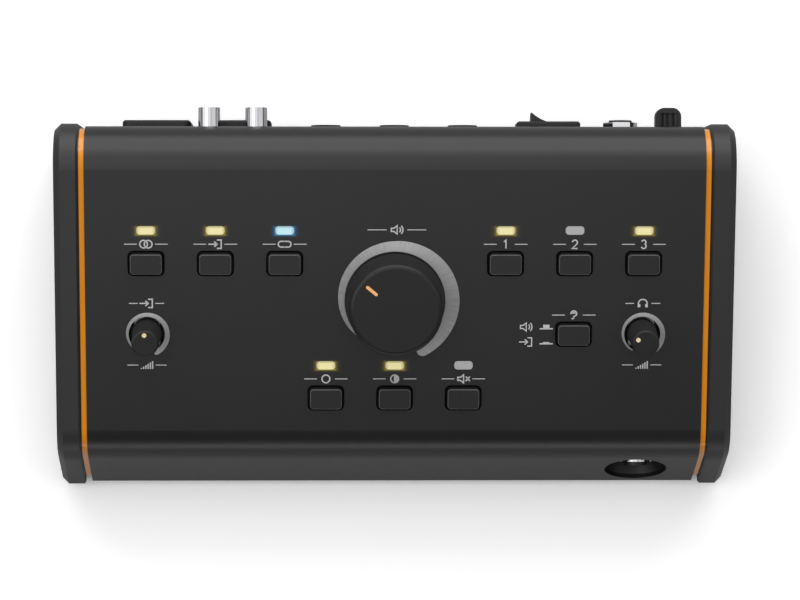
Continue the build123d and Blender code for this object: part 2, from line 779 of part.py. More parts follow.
def small_control(name, place, rest):
    """Writes a small knob with its marker dot, its shaft and its pot on the board."""
    shaft_end = small_pot[2] - board_drop + shaft_engagement + small_knob_sink
    with BuildPart() as pot:
        with BuildSketch(on_panel(-board_drop, place)):
            RectangleRounded(small_pot[0], small_pot[1], 0.8)
        extrude(amount=small_pot[2])
        with BuildSketch(on_panel(small_pot[2] - board_drop, place)):
            Circle(shaft_radius + shaft_play)
        extrude(amount=-shaft_root, mode=Mode.SUBTRACT)
    keep(pot, f"{name}_pot_body")

    with BuildPart() as shaft:
        with BuildSketch(on_panel(small_pot[2] - board_drop - shaft_root, place)):
            Circle(shaft_radius)
        extrude(amount=shaft_root + shaft_end + board_drop - small_pot[2])
    keep(shaft, f"{name}_pot_shaft")

    with BuildPart() as knob:
        with BuildSketch(standing_on_panel(place)):
            with BuildLine() as side_view:
                FilletPolyline(
                    (0, small_knob_height),
                    (small_knob_top_radius, small_knob_height),
                    (small_knob_foot_radius, -small_knob_sink),
                    (knob_bore, -small_knob_sink),
                    (knob_bore, shaft_end),
                    (0, shaft_end),
                    radius=(0, small_knob_rim, 0.3, 0, 0, 0),
                    close=True,
                )
            make_face(side_view.edges())
        revolve(axis=turning_axis(place))
        with BuildSketch(on_panel(small_knob_height, place)):
            with Locations(clock(dot_offset, rest)):
                Circle(dot_radius)
        extrude(amount=-dot_depth, mode=Mode.SUBTRACT)
    keep(knob, f"{name}_knob")

    with BuildPart() as dot:
        with BuildSketch(on_panel(small_knob_height - dot_depth, place)):
            with Locations(clock(dot_offset, rest)):
                Circle(dot_radius)
        extrude(amount=dot_depth + inlay_proud)
    keep(dot, f"{name}_knob_dot")


small_control("aux", aux_place, aux_rest)
small_control("phones", phones_place, phones_rest)

# ---- sockets, switch and hook on the rear panel -------------------------------------------------
# places out of the wall are positive
mouth_end = -sheet - mouth_depth
output_seat = output_collar_reach - mouth_chamfer
dc_seat = dc_reach - mouth_chamfer


def plug_bore(x, z, mouth, seat, end, radius, mouth_radius):
    """Cuts a plug's bore from the rear: a countersunk mouth down to seat, then a straight wall."""
    with BuildSketch(rear_profile(x, z)) as half_bore:
        with BuildLine() as cut:
            Polyline(
                (0, mouth),
                (mouth_radius, mouth),
                (radius, seat),
                (radius, end),
                (0, end),
                close=True,
            )
        make_face(cut.edges())
    revolve(half_bore.sketch, axis=Axis((x, rear_y, z), (0, 1, 0)), mode=Mode.SUBTRACT)


for name, x in zip(("left_combo_jack", "right_combo_jack"), combo_x):
    with BuildPart() as combo:
        with BuildSketch(rear_face(x, combo_z)):
            RectangleRounded(combo_width, combo_height, combo_flange_corner)
        extrude(amount=combo_flange)
        chamfer(combo.faces().sort_by(Axis.Y)[-1].edges(), combo_flange_bevel)
        with BuildSketch(rear_face(x, combo_z)):
            RectangleRounded(combo_body, combo_body, combo_body_corner)
        extrude(amount=-sheet)
        # behind the sheet the body is square and stands on the board
        with BuildSketch(rear_face(x, combo_z, -sheet)):
            body_drop = combo_z - combo_body / 2 - main_board_top
            with Locations((0, -body_drop / 2)):
                Rectangle(combo_body, combo_body + body_drop)
        extrude(amount=sheet - combo_depth)
        with BuildSketch(rear_face(x, combo_z, combo_flange)):
            Circle(combo_well_radius)
        extrude(amount=-combo_well_depth, mode=Mode.SUBTRACT)
        with BuildSketch(rear_face(x, combo_z, combo_flange - combo_well_depth)):
            Circle(combo_core_radius)
        extrude(amount=combo_well_depth - combo_core_sink)
        core_face = combo_flange - combo_core_sink
        with BuildSketch(rear_face(x, combo_z, core_face)):
            with PolarLocations(xlr_circle, 3, start_angle=30):
                Circle(xlr_hole_radius)
        extrude(amount=-xlr_hole_depth, mode=Mode.SUBTRACT)
        plug_bore(x, combo_z, core_face, mouth_end, combo_floor - combo_depth, plug_radius, jack_mouth_radius)
        with BuildSketch(rear_face(x, combo_z, combo_flange)):
            with Locations(*combo_screw_spots):
                Circle(combo_hole)
        extrude(amount=-combo_flange, mode=Mode.SUBTRACT)
        for side_x, side_z in combo_screw_spots:
            with Locations(rear_face(x - side_x, combo_z + side_z, combo_flange)):
                CounterSinkHole(combo_hole, combo_screw_head_radius, combo_flange, counter_sink_angle=90)
    keep(combo, name)

with BuildPart() as combo_jack_screws:
    for x in combo_x:
        for side_x, side_z in combo_screw_spots:
            head_z = combo_flange - combo_screw_head_drop
            with BuildSketch(rear_profile(x - side_x, combo_z + side_z)):
                with BuildLine() as outline:
                    Polyline(
                        (0, head_z),
                        (combo_screw_head_radius - 0.25, head_z),
                        (combo_screw_radius, head_z - combo_screw_head_radius + 0.25 + combo_screw_radius),
                        (combo_screw_radius, head_z - combo_screw_length),
                        (0, head_z - combo_screw_length),
                        close=True,
                    )
                make_face(outline.edges())
            revolve(axis=Axis((x - side_x, rear_y, combo_z + side_z), (0, 1, 0)))
keep(combo_jack_screws, "combo_jack_screws")

rca_places = [(rca_middle + side * rca_pitch / 2, rca_z) for side in (-1, 1)]
with BuildPart() as rca_housing_part:
    with BuildSketch(rear_face(rca_middle, rca_z, -sheet)):
        RectangleRounded(rca_housing[0], rca_housing[1], 1.0)
    extrude(amount=-rca_housing[2])
keep(rca_housing_part, "rca_housing")

with BuildPart() as rca_sleeves:
    for x, z in rca_places:
        with BuildSketch(rear_face(x, z, -sheet)):
            Circle(rca_root_radius)
            Circle(rca_radius - rca_wall, mode=Mode.SUBTRACT)
        extrude(amount=sheet)
        with BuildSketch(rear_face(x, z)):
            Circle(rca_radius)
            Circle(rca_radius - rca_wall, mode=Mode.SUBTRACT)
        extrude(amount=rca_reach)
keep(rca_sleeves, "rca_sleeves")

with BuildPart() as rca_cores:
    for x, z in rca_places:
        with BuildSketch(rear_face(x, z, -sheet)):
            Circle(rca_radius - rca_wall - screw_bite)
        extrude(amount=sheet + rca_reach - rca_core_sink)
        with BuildSketch(rear_face(x, z, rca_reach - rca_core_sink)):
            Circle(rca_core_bore)
        extrude(amount=-rca_reach, mode=Mode.SUBTRACT)
keep(rca_cores, "rca_cores")

with BuildPart() as output_jacks:
    for x in output_x:
        with BuildSketch(rear_face(x, main_board_top, -sheet)):
            Rectangle(output_size[0], output_height, align=(Align.CENTER, Align.MIN))
        extrude(amount=-output_size[1])
        for z in output_rows:
            with BuildSketch(rear_face(x, z, -sheet)):
                Circle(output_collar_radius)
            extrude(amount=sheet + output_collar_reach)
            bore_end = output_end_wall - sheet - output_size[1]
            plug_bore(x, z, output_collar_reach, output_seat, bore_end, plug_radius, jack_mouth_radius)
keep(output_jacks, "output_jacks")

rocker_level = Plane((rocker_x, rear_y, rear_row_z))
with BuildPart() as rocker_bezel:
    with BuildSketch(rear_face(rocker_x, rear_row_z)):
        RectangleRounded(rocker_bezel_size[0], rocker_bezel_size[1], 1.4)
    extrude(amount=rocker_bezel_size[2])
    chamfer(rocker_bezel.faces().sort_by(Axis.Y)[-1].edges(), 0.7)
    with BuildSketch(rear_face(rocker_x, rear_row_z)):
        Rectangle(rocker_opening[0] + 2 * rocker_wall, rocker_opening[1] + 2 * rocker_wall)
    extrude(amount=-rocker_depth)
    with BuildSketch(rear_face(rocker_x, rear_row_z, rocker_bezel_size[2])):
        Rectangle(*rocker_opening)
    extrude(amount=-rocker_bezel_size[2] - rocker_well, mode=Mode.SUBTRACT)
    # blind seats for the paddle's pins
    with BuildSketch(rocker_level):
        Circle(rocker_pin_radius + pin_play)
    extrude(amount=rocker_opening[1] / 2 + rocker_pin_reach + 2 * pin_play, both=True, mode=Mode.SUBTRACT)
keep(rocker_bezel, "rocker_bezel")

with BuildPart() as rocker_paddle:
    turn = radians(-rocker_tilt)
    tilted = Plane(rocker_level.origin, x_dir=(cos(turn), sin(turn), 0), z_dir=(0, 0, 1))
    with BuildSketch(tilted):
        with BuildLine() as section:
            ThreePointArc((-rocker_half, rocker_horn), (0, rocker_dip), (rocker_half, rocker_horn))
            Polyline(
                (rocker_half, rocker_horn),
                (rocker_half - 1.4, -rocker_keel / 2),
                (0, -rocker_keel),
                (1.4 - rocker_half, -rocker_keel / 2),
                (-rocker_half, rocker_horn),
            )
        make_face(section.edges())
    extrude(amount=rocker_opening[1] / 2 - rocker_play, both=True)
    with BuildSketch(rocker_level):
        Circle(rocker_pin_radius)
    extrude(amount=rocker_opening[1] / 2 + rocker_pin_reach, both=True)
keep(rocker_paddle, "rocker_paddle")

with BuildPart() as dc_jack:
    with BuildSketch(rear_profile(dc_x, rear_row_z)):
        with BuildLine() as turned:
            Polyline(
                (0, dc_reach),
                (dc_barrel_radius, dc_reach),
                (dc_barrel_radius, -sheet),
                (dc_shoulder_radius, -sheet),
                (dc_shoulder_radius, -dc_depth),
                (0, -dc_depth),
                close=True,
            )
        make_face(turned.edges())
    revolve(axis=Axis((dc_x, rear_y, rear_row_z), (0, 1, 0)))
    plug_bore(dc_x, rear_row_z, dc_reach, dc_seat, dc_end_wall - dc_depth, dc_bore, dc_mouth)
keep(dc_jack, "dc_jack")

with BuildPart() as dc_jack_nut:
    with BuildSketch(rear_face(dc_x, rear_row_z)):
        RegularPolygon(dc_nut_across / 2, 6, major_radius=False)
        Circle(dc_barrel_radius + screw_bite, mode=Mode.SUBTRACT)
    extrude(amount=dc_nut_height)
keep(dc_jack_nut, "dc_jack_nut")

with BuildPart() as cable_hook:
    with BuildSketch(rear_profile(hook_x, rear_row_z - hook_height / 2)) as loop:
        Rectangle(hook_width, hook_reach, align=(Align.CENTER, Align.MIN))
        fillet(loop.vertices().group_by(Axis.Y)[-1], 3.4)
        loop_size = (hook_width - 2 * hook_leg, hook_reach - hook_bar)
        Rectangle(*loop_size, align=(Align.CENTER, Align.MIN), mode=Mode.SUBTRACT)
    extrude(amount=hook_height)
    # narrower legs pass through the panel
    with BuildSketch(rear_profile(hook_x, rear_row_z - hook_shoulder / 2)):
        for side in (-1, 1):
            with Locations((side * (hook_width - hook_leg) / 2, 0)):
                Rectangle(hook_leg, hook_root, align=(Align.CENTER, Align.MAX))
    extrude(amount=hook_shoulder)
keep(cable_hook, "cable_hook")

# ---- headphone socket ---------------------------------------------------------------------------
with BuildPart() as phones_cup:
    with BuildSketch(front_station(cup_back)):
        Circle(cup_radius)
    extrude(amount=body_depth - cup_back)
    with BuildSketch(front_station(cup_back + cup_floor)):
        Circle(cup_bore)
    extrude(amount=body_depth - cup_back, mode=Mode.SUBTRACT)
    with BuildSketch(front_station(cup_back)):
        Circle(phones_bushing_radius + bolt_play)
    extrude(amount=cup_floor, mode=Mode.SUBTRACT)
    # its rim follows the inside of the front face
    with BuildSketch(Plane.YZ.offset(phones_x)):
        side_outline(sheet, shell_bottom + sheet, toe=toe_radius - sheet)
    extrude(amount=cup_radius, both=True, mode=Mode.INTERSECT)
keep(phones_cup, "phones_cup")

bushing_end = cup_back + cup_floor + phones_bushing_reach
with BuildPart() as phones_jack:
    with BuildSketch(front_station(cup_back)):
        Rectangle(phones_jack_width, 2 * (phones_z - main_board_top))
    extrude(amount=-phones_jack_depth)
    with BuildSketch(front_station(cup_back)):
        Circle(phones_bushing_radius)
    extrude(amount=cup_floor + phones_bushing_reach)
    with BuildSketch(Plane((phones_x, rear_y, phones_z), x_dir=(1, 0, 0), z_dir=(0, 0, 1))):
        with BuildLine() as bore:
            Polyline(
                (0, -bushing_end),
                (jack_mouth_radius, -bushing_end),
                (plug_radius, mouth_depth - cup_back),
                (plug_radius, phones_jack_depth - phones_end_wall - cup_back),
                (0, phones_jack_depth - phones_end_wall - cup_back),
                close=True,
            )
        make_face(bore.edges())
    revolve(axis=Axis((phones_x, rear_y, phones_z), (0, 1, 0)), mode=Mode.SUBTRACT)
keep(phones_jack, "phones_jack")

with BuildPart() as phones_jack_nut:
    with BuildSketch(front_station(cup_back + cup_floor)):
        Circle(phones_nut_radius)
        Circle(phones_bushing_radius + screw_bite, mode=Mode.SUBTRACT)
        with PolarLocations(phones_nut_radius, 8, start_angle=22.5):
            Rectangle(2 * phones_notch[1], phones_notch[0], mode=Mode.SUBTRACT)
    extrude(amount=phones_nut_height)
keep(phones_jack_nut, "phones_jack_nut")
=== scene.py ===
import json
from math import atan2, cos, hypot, pi, radians, sin

import bmesh
import bpy
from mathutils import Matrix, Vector


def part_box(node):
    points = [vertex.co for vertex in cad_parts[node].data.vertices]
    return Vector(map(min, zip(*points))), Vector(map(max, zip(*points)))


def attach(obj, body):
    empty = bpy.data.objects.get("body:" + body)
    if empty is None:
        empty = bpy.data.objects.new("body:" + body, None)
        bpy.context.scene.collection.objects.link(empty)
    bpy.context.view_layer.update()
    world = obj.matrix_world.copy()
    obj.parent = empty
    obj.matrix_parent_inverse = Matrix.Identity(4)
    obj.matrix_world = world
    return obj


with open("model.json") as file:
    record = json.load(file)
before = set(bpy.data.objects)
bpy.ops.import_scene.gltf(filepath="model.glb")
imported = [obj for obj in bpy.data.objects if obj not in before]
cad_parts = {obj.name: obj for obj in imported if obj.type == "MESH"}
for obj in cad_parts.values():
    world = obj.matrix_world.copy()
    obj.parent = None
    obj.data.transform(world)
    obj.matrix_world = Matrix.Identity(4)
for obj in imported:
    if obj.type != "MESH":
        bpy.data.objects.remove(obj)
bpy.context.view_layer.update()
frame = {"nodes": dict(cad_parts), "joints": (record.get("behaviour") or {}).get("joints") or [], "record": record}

# A desktop monitor controller in its finishes, on a white table in a light tent.
# Metres, in the frame of the solids: +X to the user's right, +Y to the rear, +Z up.

MM = 0.001

# ---- the control panel ----------------------------------------------------------------------------


def joint_named(name):
    return next(joint for joint in frame["joints"] if joint["name"] == name)


main_turn = joint_named("main_level_turn")
aux_turn = joint_named("aux_level_turn")
phones_turn = joint_named("phones_level_turn")

dial_centre = Vector(main_turn["pos_m"])  # on the panel, under the main knob
panel_out = Vector(main_turn["axis"])
panel_right = Vector((1, 0, 0))
panel_up = panel_out.cross(panel_right)


def on_panel(right, up, out=0.0):
    """A point given to the right of the main dial's centre, up the slope and out of the panel."""
    return dial_centre + panel_right * right + panel_up * up + panel_out * out


def place_on_panel(point):
    """The two panel measures, right and up, of a point in space."""
    step = Vector(point) - dial_centre
    return step.dot(panel_right), step.dot(panel_up)


def key_place(node):
    low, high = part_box(node)
    return place_on_panel((low + high) / 2)


window_above_key = 12.7 * MM
window_half = (3.5 * MM, 1.6 * MM)
warm_keys = ("stereo_key", "aux_key", "output_1_key", "output_3_key", "dim_key", "mono_key")
blue_keys = ("pair_key",)


def window_place(key):
    right, up = key_place(key)
    return right, up + window_above_key


# ---- making a finish ------------------------------------------------------------------------------


class Wire:
    """What a shader node gives out, so that a finish reads as plain sums."""

    def __init__(self, paint, socket):
        self.paint = paint
        self.socket = socket

    def sum(self, operation, *values):
        return self.paint.node("ShaderNodeMath", {"operation": operation}, dict(enumerate(values)))

    def __add__(self, other):
        return self.sum("ADD", self, other)

    def __radd__(self, other):
        return self.sum("ADD", other, self)

    def __sub__(self, other):
        return self.sum("SUBTRACT", self, other)

    def __rsub__(self, other):
        return self.sum("SUBTRACT", other, self)

    def __mul__(self, other):
        return self.sum("MULTIPLY", self, other)

    def __rmul__(self, other):
        return self.sum("MULTIPLY", other, self)

    def __truediv__(self, other):
        return self.sum("DIVIDE", self, other)

    def __rtruediv__(self, other):
        return self.sum("DIVIDE", other, self)

    def __neg__(self):
        return self.sum("MULTIPLY", self, -1.0)

    def __abs__(self):
        return self.sum("ABSOLUTE", self)

    def __pow__(self, power):
        return self.sum("POWER", self, power)

    def at_least(self, least):
        return self.sum("MAXIMUM", self, least)

    def at_most(self, most):
        return self.sum("MINIMUM", self, most)

    def root(self):
        return self.sum("SQRT", self)

    def fading(self, reach):
        """1 at nothing, falling away over the given reach."""
        return self.sum("EXPONENT", -(self / reach))

    def between(self, low, high):
        """0 at low, 1 at high, eased at both ends."""
        settings = {"interpolation_type": "SMOOTHSTEP"}
        values = {"Value": self, "From Min": low, "From Max": high}
        return self.paint.node("ShaderNodeMapRange", settings, values)


class Paint:
    """One material and the nodes it is made of."""

    def __init__(self, name):
        self.material = bpy.data.materials.new(name)
        self.material.use_nodes = True
        self.tree = self.material.node_tree
        self.tree.nodes.clear()

    def plug(self, value, socket):
        if isinstance(value, Wire):
            self.tree.links.new(value.socket, socket)
        else:
            socket.default_value = value

    def node(self, kind, settings=None, values=None, output=0):
        made = self.tree.nodes.new(kind)
        for name, value in (settings or {}).items():
            if name == "stops":
                ramp = made.color_ramp.elements
                while len(ramp) < len(value):
                    ramp.new(1.0)
                for element, (place, colour) in zip(ramp, value):
                    element.position = place
                    element.color = colour
            else:
                setattr(made, name, value)
        for name, value in (values or {}).items():
            self.plug(value, made.inputs[name])
        return Wire(self, made.outputs[output])

    def cover(self, shader):
        """Puts what a shader gives out on the surface."""
        output = self.tree.nodes.new("ShaderNodeOutputMaterial")
        self.plug(shader, output.inputs["Surface"])


class Finish(Paint):
    """The finish of a piece: one shader, and the nodes that vary it over the surface."""

    def __init__(self, name, **constants):
        super().__init__(name)
        self.shader = self.tree.nodes.new("ShaderNodeBsdfPrincipled")
        for constant, value in constants.items():
            socket = constant.replace("_", " ").title().replace("Ior", "IOR")
            self.shader.inputs[socket].default_value = value
        self.cover(Wire(self, self.shader.outputs["BSDF"]))

    def vary(self, socket, value):
        self.plug(value, self.shader.inputs[socket])
        return self

    def so_far(self, socket):
        """What already varies a socket."""
        return Wire(self, self.shader.inputs[socket].links[0].from_socket)

    def place(self, stretch=(1, 1, 1)):
        """The point on the object, with any direction stretched."""
        point = self.node("ShaderNodeTexCoord", output="Object")
        if stretch == (1, 1, 1):
            return point
        return self.node("ShaderNodeVectorMath", {"operation": "MULTIPLY"}, {0: point, 1: stretch})

    def noise(self, size, detail=2.0, rough=0.5, stretch=(1, 1, 1)):
        """Cloudy noise from 0 to 1 whose lumps are about this size."""
        values = {"Vector": self.place(stretch), "Scale": 1 / size, "Detail": detail, "Roughness": rough}
        return self.node("ShaderNodeTexNoise", None, values)

    def blend(self, share, first, second):
        settings = {"data_type": "RGBA", "clamp_factor": True}
        first, second = [each if isinstance(each, Wire) else (*each, 1) for each in (first, second)]
        return self.node("ShaderNodeMix", settings, {0: share, 6: first, 7: second}, 2)

    def bump(self, height, depth, strength=1.0):
        values = {"Strength": strength, "Distance": depth, "Height": height}
        return self.vary("Normal", self.node("ShaderNodeBump", None, values))

    def facing(self, direction):
        """1 where the surface faces along a direction on the object, 0 where it lies along it."""
        values = {0: self.node("ShaderNodeTexCoord", output="Normal"), 1: tuple(direction)}
        return self.node("ShaderNodeVectorMath", {"operation": "DOT_PRODUCT"}, values, "Value")

    def apart(self, vector):
        """The three numbers of a vector."""
        parts = self.tree.nodes.new("ShaderNodeSeparateXYZ")
        self.plug(vector, parts.inputs[0])
        return [Wire(self, parts.outputs[axis]) for axis in "XYZ"]


def shades(colour, spread):
    """A darker and a lighter shade of one colour."""
    return [tuple(part * (1 + side * spread) for part in colour) for side in (-1, 1)]


def grey(share):
    return (share, share, share)


def painted(name, colour, roughness, grain=0.35 * MM, grain_depth=0.006 * MM, spread=0.08, **constants):
    """Baked paint: a fine orange-peel grain, faint clouds in the colour and in the gloss."""
    paint = Finish(name, **constants)
    colour_clouds = paint.noise(14 * MM, 3)
    gloss_clouds = paint.noise(5 * MM, 2)
    paint.vary("Base Color", paint.blend(colour_clouds, *shades(colour, spread)))
    paint.vary("Roughness", roughness + (gloss_clouds - 0.5) * 0.08)
    return paint.bump(paint.noise(grain, 2), grain_depth)


def moulded(
    name, colour, roughness, spark=0.22 * MM, spark_depth=0.006 * MM, spread=0.1, gloss=0.45, fleck=0.12
):
    """Moulded plastic with the fine spark texture of its tool, which also flecks the gloss."""
    plastic = Finish(name, specular_ior_level=gloss)
    sparks = plastic.noise(spark, 1)
    colour_clouds = plastic.noise(6 * MM, 2)
    plastic.vary("Base Color", plastic.blend(colour_clouds, *shades(colour, spread)))
    plastic.vary("Roughness", roughness + (sparks - 0.5) * fleck)
    return plastic.bump(sparks, spark_depth)


def bare_metal(name, colour, roughness, stretch, depth=0.002 * MM):
    """Metal with drawn or rolled lines and a few faint smudges."""
    metal = Finish(name, metallic=1.0)
    lines = metal.noise(0.4 * MM, 3, 0.6, stretch)
    smudges = metal.noise(7 * MM, 3)
    metal.vary("Base Color", metal.blend(smudges, *shades(colour, 0.06)))
    metal.vary("Roughness", roughness + (lines - 0.5) * 0.1 + (smudges - 0.5) * 0.06)
    return metal.bump(lines, depth)


# ---- the lit windows and their glow ---------------------------------------------------------------

warm_light = (0.22, 0.17, 0.012)
blue_light = (0.02, 0.16, 0.34)
glow_reach = 0.5 * MM
glow_narrowing = 2.4  # how much shorter the glow is up and down the slope
rim_start = 0.62  # of a window's half size
rim_light = 0.5  # of the light in its middle


def window_steps(paint, keys):
    """For each key's window, how far a point lies aside of its middle and up the slope from it."""
    x, y, z = paint.apart(paint.place())
    up = (y - dial_centre.y) * panel_up.y + (z - dial_centre.z) * panel_up.z
    return [(abs(x - window_place(key)[0]), abs(up - window_place(key)[1])) for key in keys]


def window_glow(paint, keys):
    """Light that the lit windows over these keys throw on the paint beside them."""
    glow = 0.0
    for aside, along in window_steps(paint, keys):
        past_end = (aside - window_half[0]).at_least(0.0)
        past_edge = (along - window_half[1]).at_least(0.0) * glow_narrowing
        glow = glow + (past_end**2 + past_edge**2).root().fading(glow_reach)
    return glow


def window_rim(paint, keys):
    """0 over most of these keys' windows, rising to 1 at their edges."""
    rim = 1.0
    for aside, along in window_steps(paint, keys):
        rim = (aside / window_half[0]).at_least(along / window_half[1]).at_most(rim)
    return rim.between(rim_start, 1.0)


def lit_window(name, keys, body, light):
    """A light-pipe with its lamp on: milky plastic that shines from its face, dimmer at the edge."""
    window = Finish(name, roughness=0.35, emission_strength=1.0)
    milk = window.noise(1.6 * MM, 2)
    window.vary("Base Color", window.blend(milk, *shades(body, 0.06)))
    middle_light = window.blend(milk, *shades(light, 0.05))
    face_light = window.blend(window_rim(window, keys), middle_light, [part * rim_light for part in light])
    face = window.facing(panel_out).between(0.2, 0.8)
    return window.vary("Emission Color", window.blend(face, grey(0.0), face_light))


led_warm = lit_window("window_warm", warm_keys, (0.28, 0.25, 0.16), (0.58, 0.53, 0.25))
led_blue = lit_window("window_blue", blue_keys, (0.2, 0.28, 0.3), (0.34, 0.55, 0.62))
led_dark = moulded("window_dark", (0.43, 0.43, 0.425), 0.35, spark=0.4 * MM, spread=0.04)

# ---- finishes -------------------------------------------------------------------------------------

# The folded shell: nearly black satin powder coat, with the windows' light on it.
shell_coat = painted("shell_coat", (0.0062, 0.0061, 0.0065), 0.33, emission_strength=1.0)
warm_glow = window_glow(shell_coat, warm_keys)
blue_glow = window_glow(shell_coat, blue_keys)
glow_parts = [warm_glow * warm + blue_glow * blue for warm, blue in zip(warm_light, blue_light)]
shell_glow = shell_coat.node("ShaderNodeCombineColor", None, dict(enumerate(glow_parts)))
shell_coat.vary("Emission Color", shell_glow)

cheek_coat = painted("cheek_coat", (0.0145, 0.0145, 0.0152), 0.42, grain=0.45 * MM, grain_depth=0.01 * MM)

# The edges beside the cheeks: orange, with a near-black band painted along the cheek for the shade in the gap
# between them. Past the two bends, where they no longer face out of the panel, their lacquer shines more.
gap_shade_width = 0.45 * MM
gap_shade_softness = 0.05 * MM
flat_lacquer = 0.12
accent_coat = painted(
    "accent_coat",
    (0.8, 0.27, 0.002),
    0.4,
    grain=0.6 * MM,
    spread=0.03,
    specular_ior_level=0.25,
    coat_roughness=0.15,
)
# Painted shade: the band next to the cheek is coloured near-black where the gap to the cheek lies in shadow.
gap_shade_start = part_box("right_cheek")[0].x - gap_shade_width
from_middle = abs(accent_coat.apart(accent_coat.place())[0])
in_gap_shade = from_middle.between(gap_shade_start - gap_shade_softness, gap_shade_start + gap_shade_softness)
gap_shaded = accent_coat.blend(in_gap_shade, accent_coat.so_far("Base Color"), grey(0.006))
accent_coat.vary("Base Color", gap_shaded)
steep = 1 - accent_coat.facing(panel_out).between(0.8, 0.96)
accent_coat.vary("Coat Weight", flat_lacquer + (1 - flat_lacquer) * steep)

# Knobs: satin tops and duller sides.
side_dullness = 0.55
knob_plastic = moulded("knob_plastic", (0.0095, 0.0093, 0.0098), 0.36, gloss=0.35, fleck=0.1)
knob_side = 1 - abs(knob_plastic.facing(panel_out)).between(0.3, 0.8)
knob_plastic.vary("Roughness", knob_plastic.so_far("Roughness") + knob_side * side_dullness)

# Keys: black, with a painted highlight: grey in patches on their rounded edges, where those edges catch the lamps.
key_plastic = moulded("key_plastic", (0.0085, 0.0084, 0.0087), 0.34, spread=0.0)
lean = key_plastic.facing(panel_out)
rounded_edge = lean.between(0.45, 0.75) * (1 - lean.between(0.9, 0.985))
# Painted highlight: the rounded edges are coloured grey in patches, standing in for the light they catch.
edge_highlight_patches = 0.45 + 0.55 * key_plastic.noise(1.5 * MM, 3)
edge_highlighted = key_plastic.blend(rounded_edge * edge_highlight_patches, key_plastic.so_far("Base Color"), grey(0.15))
key_plastic.vary("Base Color", edge_highlighted)

black_plastic = moulded("black_plastic", (0.009, 0.009, 0.0095), 0.42, gloss=0.35)
rubber = moulded("rubber", (0.02, 0.02, 0.02), 0.85, spark=0.5 * MM, spark_depth=0.03 * MM)
marker = moulded("marker_orange", (0.93, 0.46, 0.17), 0.42, spread=0.03)
dot_marker = moulded("marker_cream", (0.8, 0.68, 0.41), 0.42, spread=0.03)
phono_inserts = moulded("phono_inserts", (0.62, 0.6, 0.55), 0.35, spread=0.04)

# Metals, each with the directions in which its lines are drawn out.
tray_steel = bare_metal("tray_steel", (0.42, 0.42, 0.43), 0.42, (1, 12, 12))
steel = bare_metal("steel", (0.5, 0.49, 0.48), 0.34, (1, 1, 9))
chrome = bare_metal("chrome", (0.58, 0.58, 0.6), 0.1, (6, 1, 1), depth=0.0005 * MM)

board_green = Finish("board_green", specular_ior_level=0.6)
tracks = board_green.node(
    "ShaderNodeTexBrick",
    {"offset": 0.5},
    {
        "Vector": board_green.place(),
        "Scale": 260.0,
        "Mortar Size": 0.04,
        "Color1": (1, 1, 1, 1),
        "Color2": (0, 0, 0, 1),
    },
    1,
)
board_green.vary("Base Color", board_green.blend(tracks, (0.012, 0.075, 0.03), (0.03, 0.13, 0.055)))
board_green.vary("Roughness", 0.34 + board_green.noise(3 * MM) * 0.12)
board_green.bump(tracks, 0.02 * MM)

ribbon_grey = Finish("ribbon_grey", specular_ior_level=0.4)
conductors = ribbon_grey.node(
    "ShaderNodeTexWave", {"bands_direction": "X"}, {"Vector": ribbon_grey.place(), "Scale": 250.0}
)
ribbon_grey.vary("Base Color", ribbon_grey.blend(conductors, (0.16, 0.16, 0.165), (0.3, 0.3, 0.31)))
ribbon_grey.vary("Roughness", 0.45 + ribbon_grey.noise(2 * MM) * 0.1)
ribbon_grey.bump(conductors, 0.1 * MM)

finishes = {
    "shell_paint": shell_coat,
    "cheek_paint": cheek_coat,
    "accent_paint": accent_coat,
    "tray_steel": tray_steel,
    "knob_plastic": knob_plastic,
    "marker": marker,
    "dot_marker": dot_marker,
    "key_plastic": key_plastic,
    "led_warm": led_warm,
    "led_blue": led_blue,
    "led_dark": led_dark,
    "chrome": chrome,
    "steel": steel,
    "black_plastic": black_plastic,
    "phono_inserts": phono_inserts,
    "board_green": board_green,
    "ribbon_grey": ribbon_grey,
    "rubber": rubber,
}

for subpart in frame["record"]["subparts"]:
    for material_slot in frame["nodes"][subpart["node"]].material_slots:
        material_slot.material = finishes[subpart["material_slot"]].material

# ---- level rings ----------------------------------------------------------------------------------


def new_piece(name, mesh_maker, finish):
    """Makes a piece of the housing from a function that fills a mesh."""
    mesh = bpy.data.meshes.new(name)
    shape = bmesh.new()
    mesh_maker(shape)
    bmesh.ops.recalc_face_normals(shape, faces=shape.faces)
    shape.to_mesh(mesh)
    shape.free()
    piece = bpy.data.objects.new(name, mesh)
    bpy.context.collection.objects.link(piece)
    mesh.materials.append(finish.material)
    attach(piece, "housing")
    return piece


def clock(angle):
    """Right and up shares of a direction, in degrees clockwise from 12 o'clock."""
    return sin(radians(angle)), cos(radians(angle))


ring_thickness = 0.12 * MM
ring_edge = 0.04 * MM  # its bevel
ring_steps = 150
cap_steps = 8  # in each rounded end
brush_lines = 260.0  # along a ring
brush_width = 2.5  # how much they change across it

ring_metal = Finish("ring_metal", metallic=0.5)
around, across_ring, _ = ring_metal.apart(ring_metal.node("ShaderNodeUVMap", {"uv_map": "arc"}))
brush_place = {0: around * brush_lines, 1: across_ring * brush_width}
brushing = ring_metal.node(
    "ShaderNodeTexNoise",
    None,
    {
        "Vector": ring_metal.node("ShaderNodeCombineXYZ", None, brush_place),
        "Scale": 1.0,
        "Detail": 3.0,
    },
)
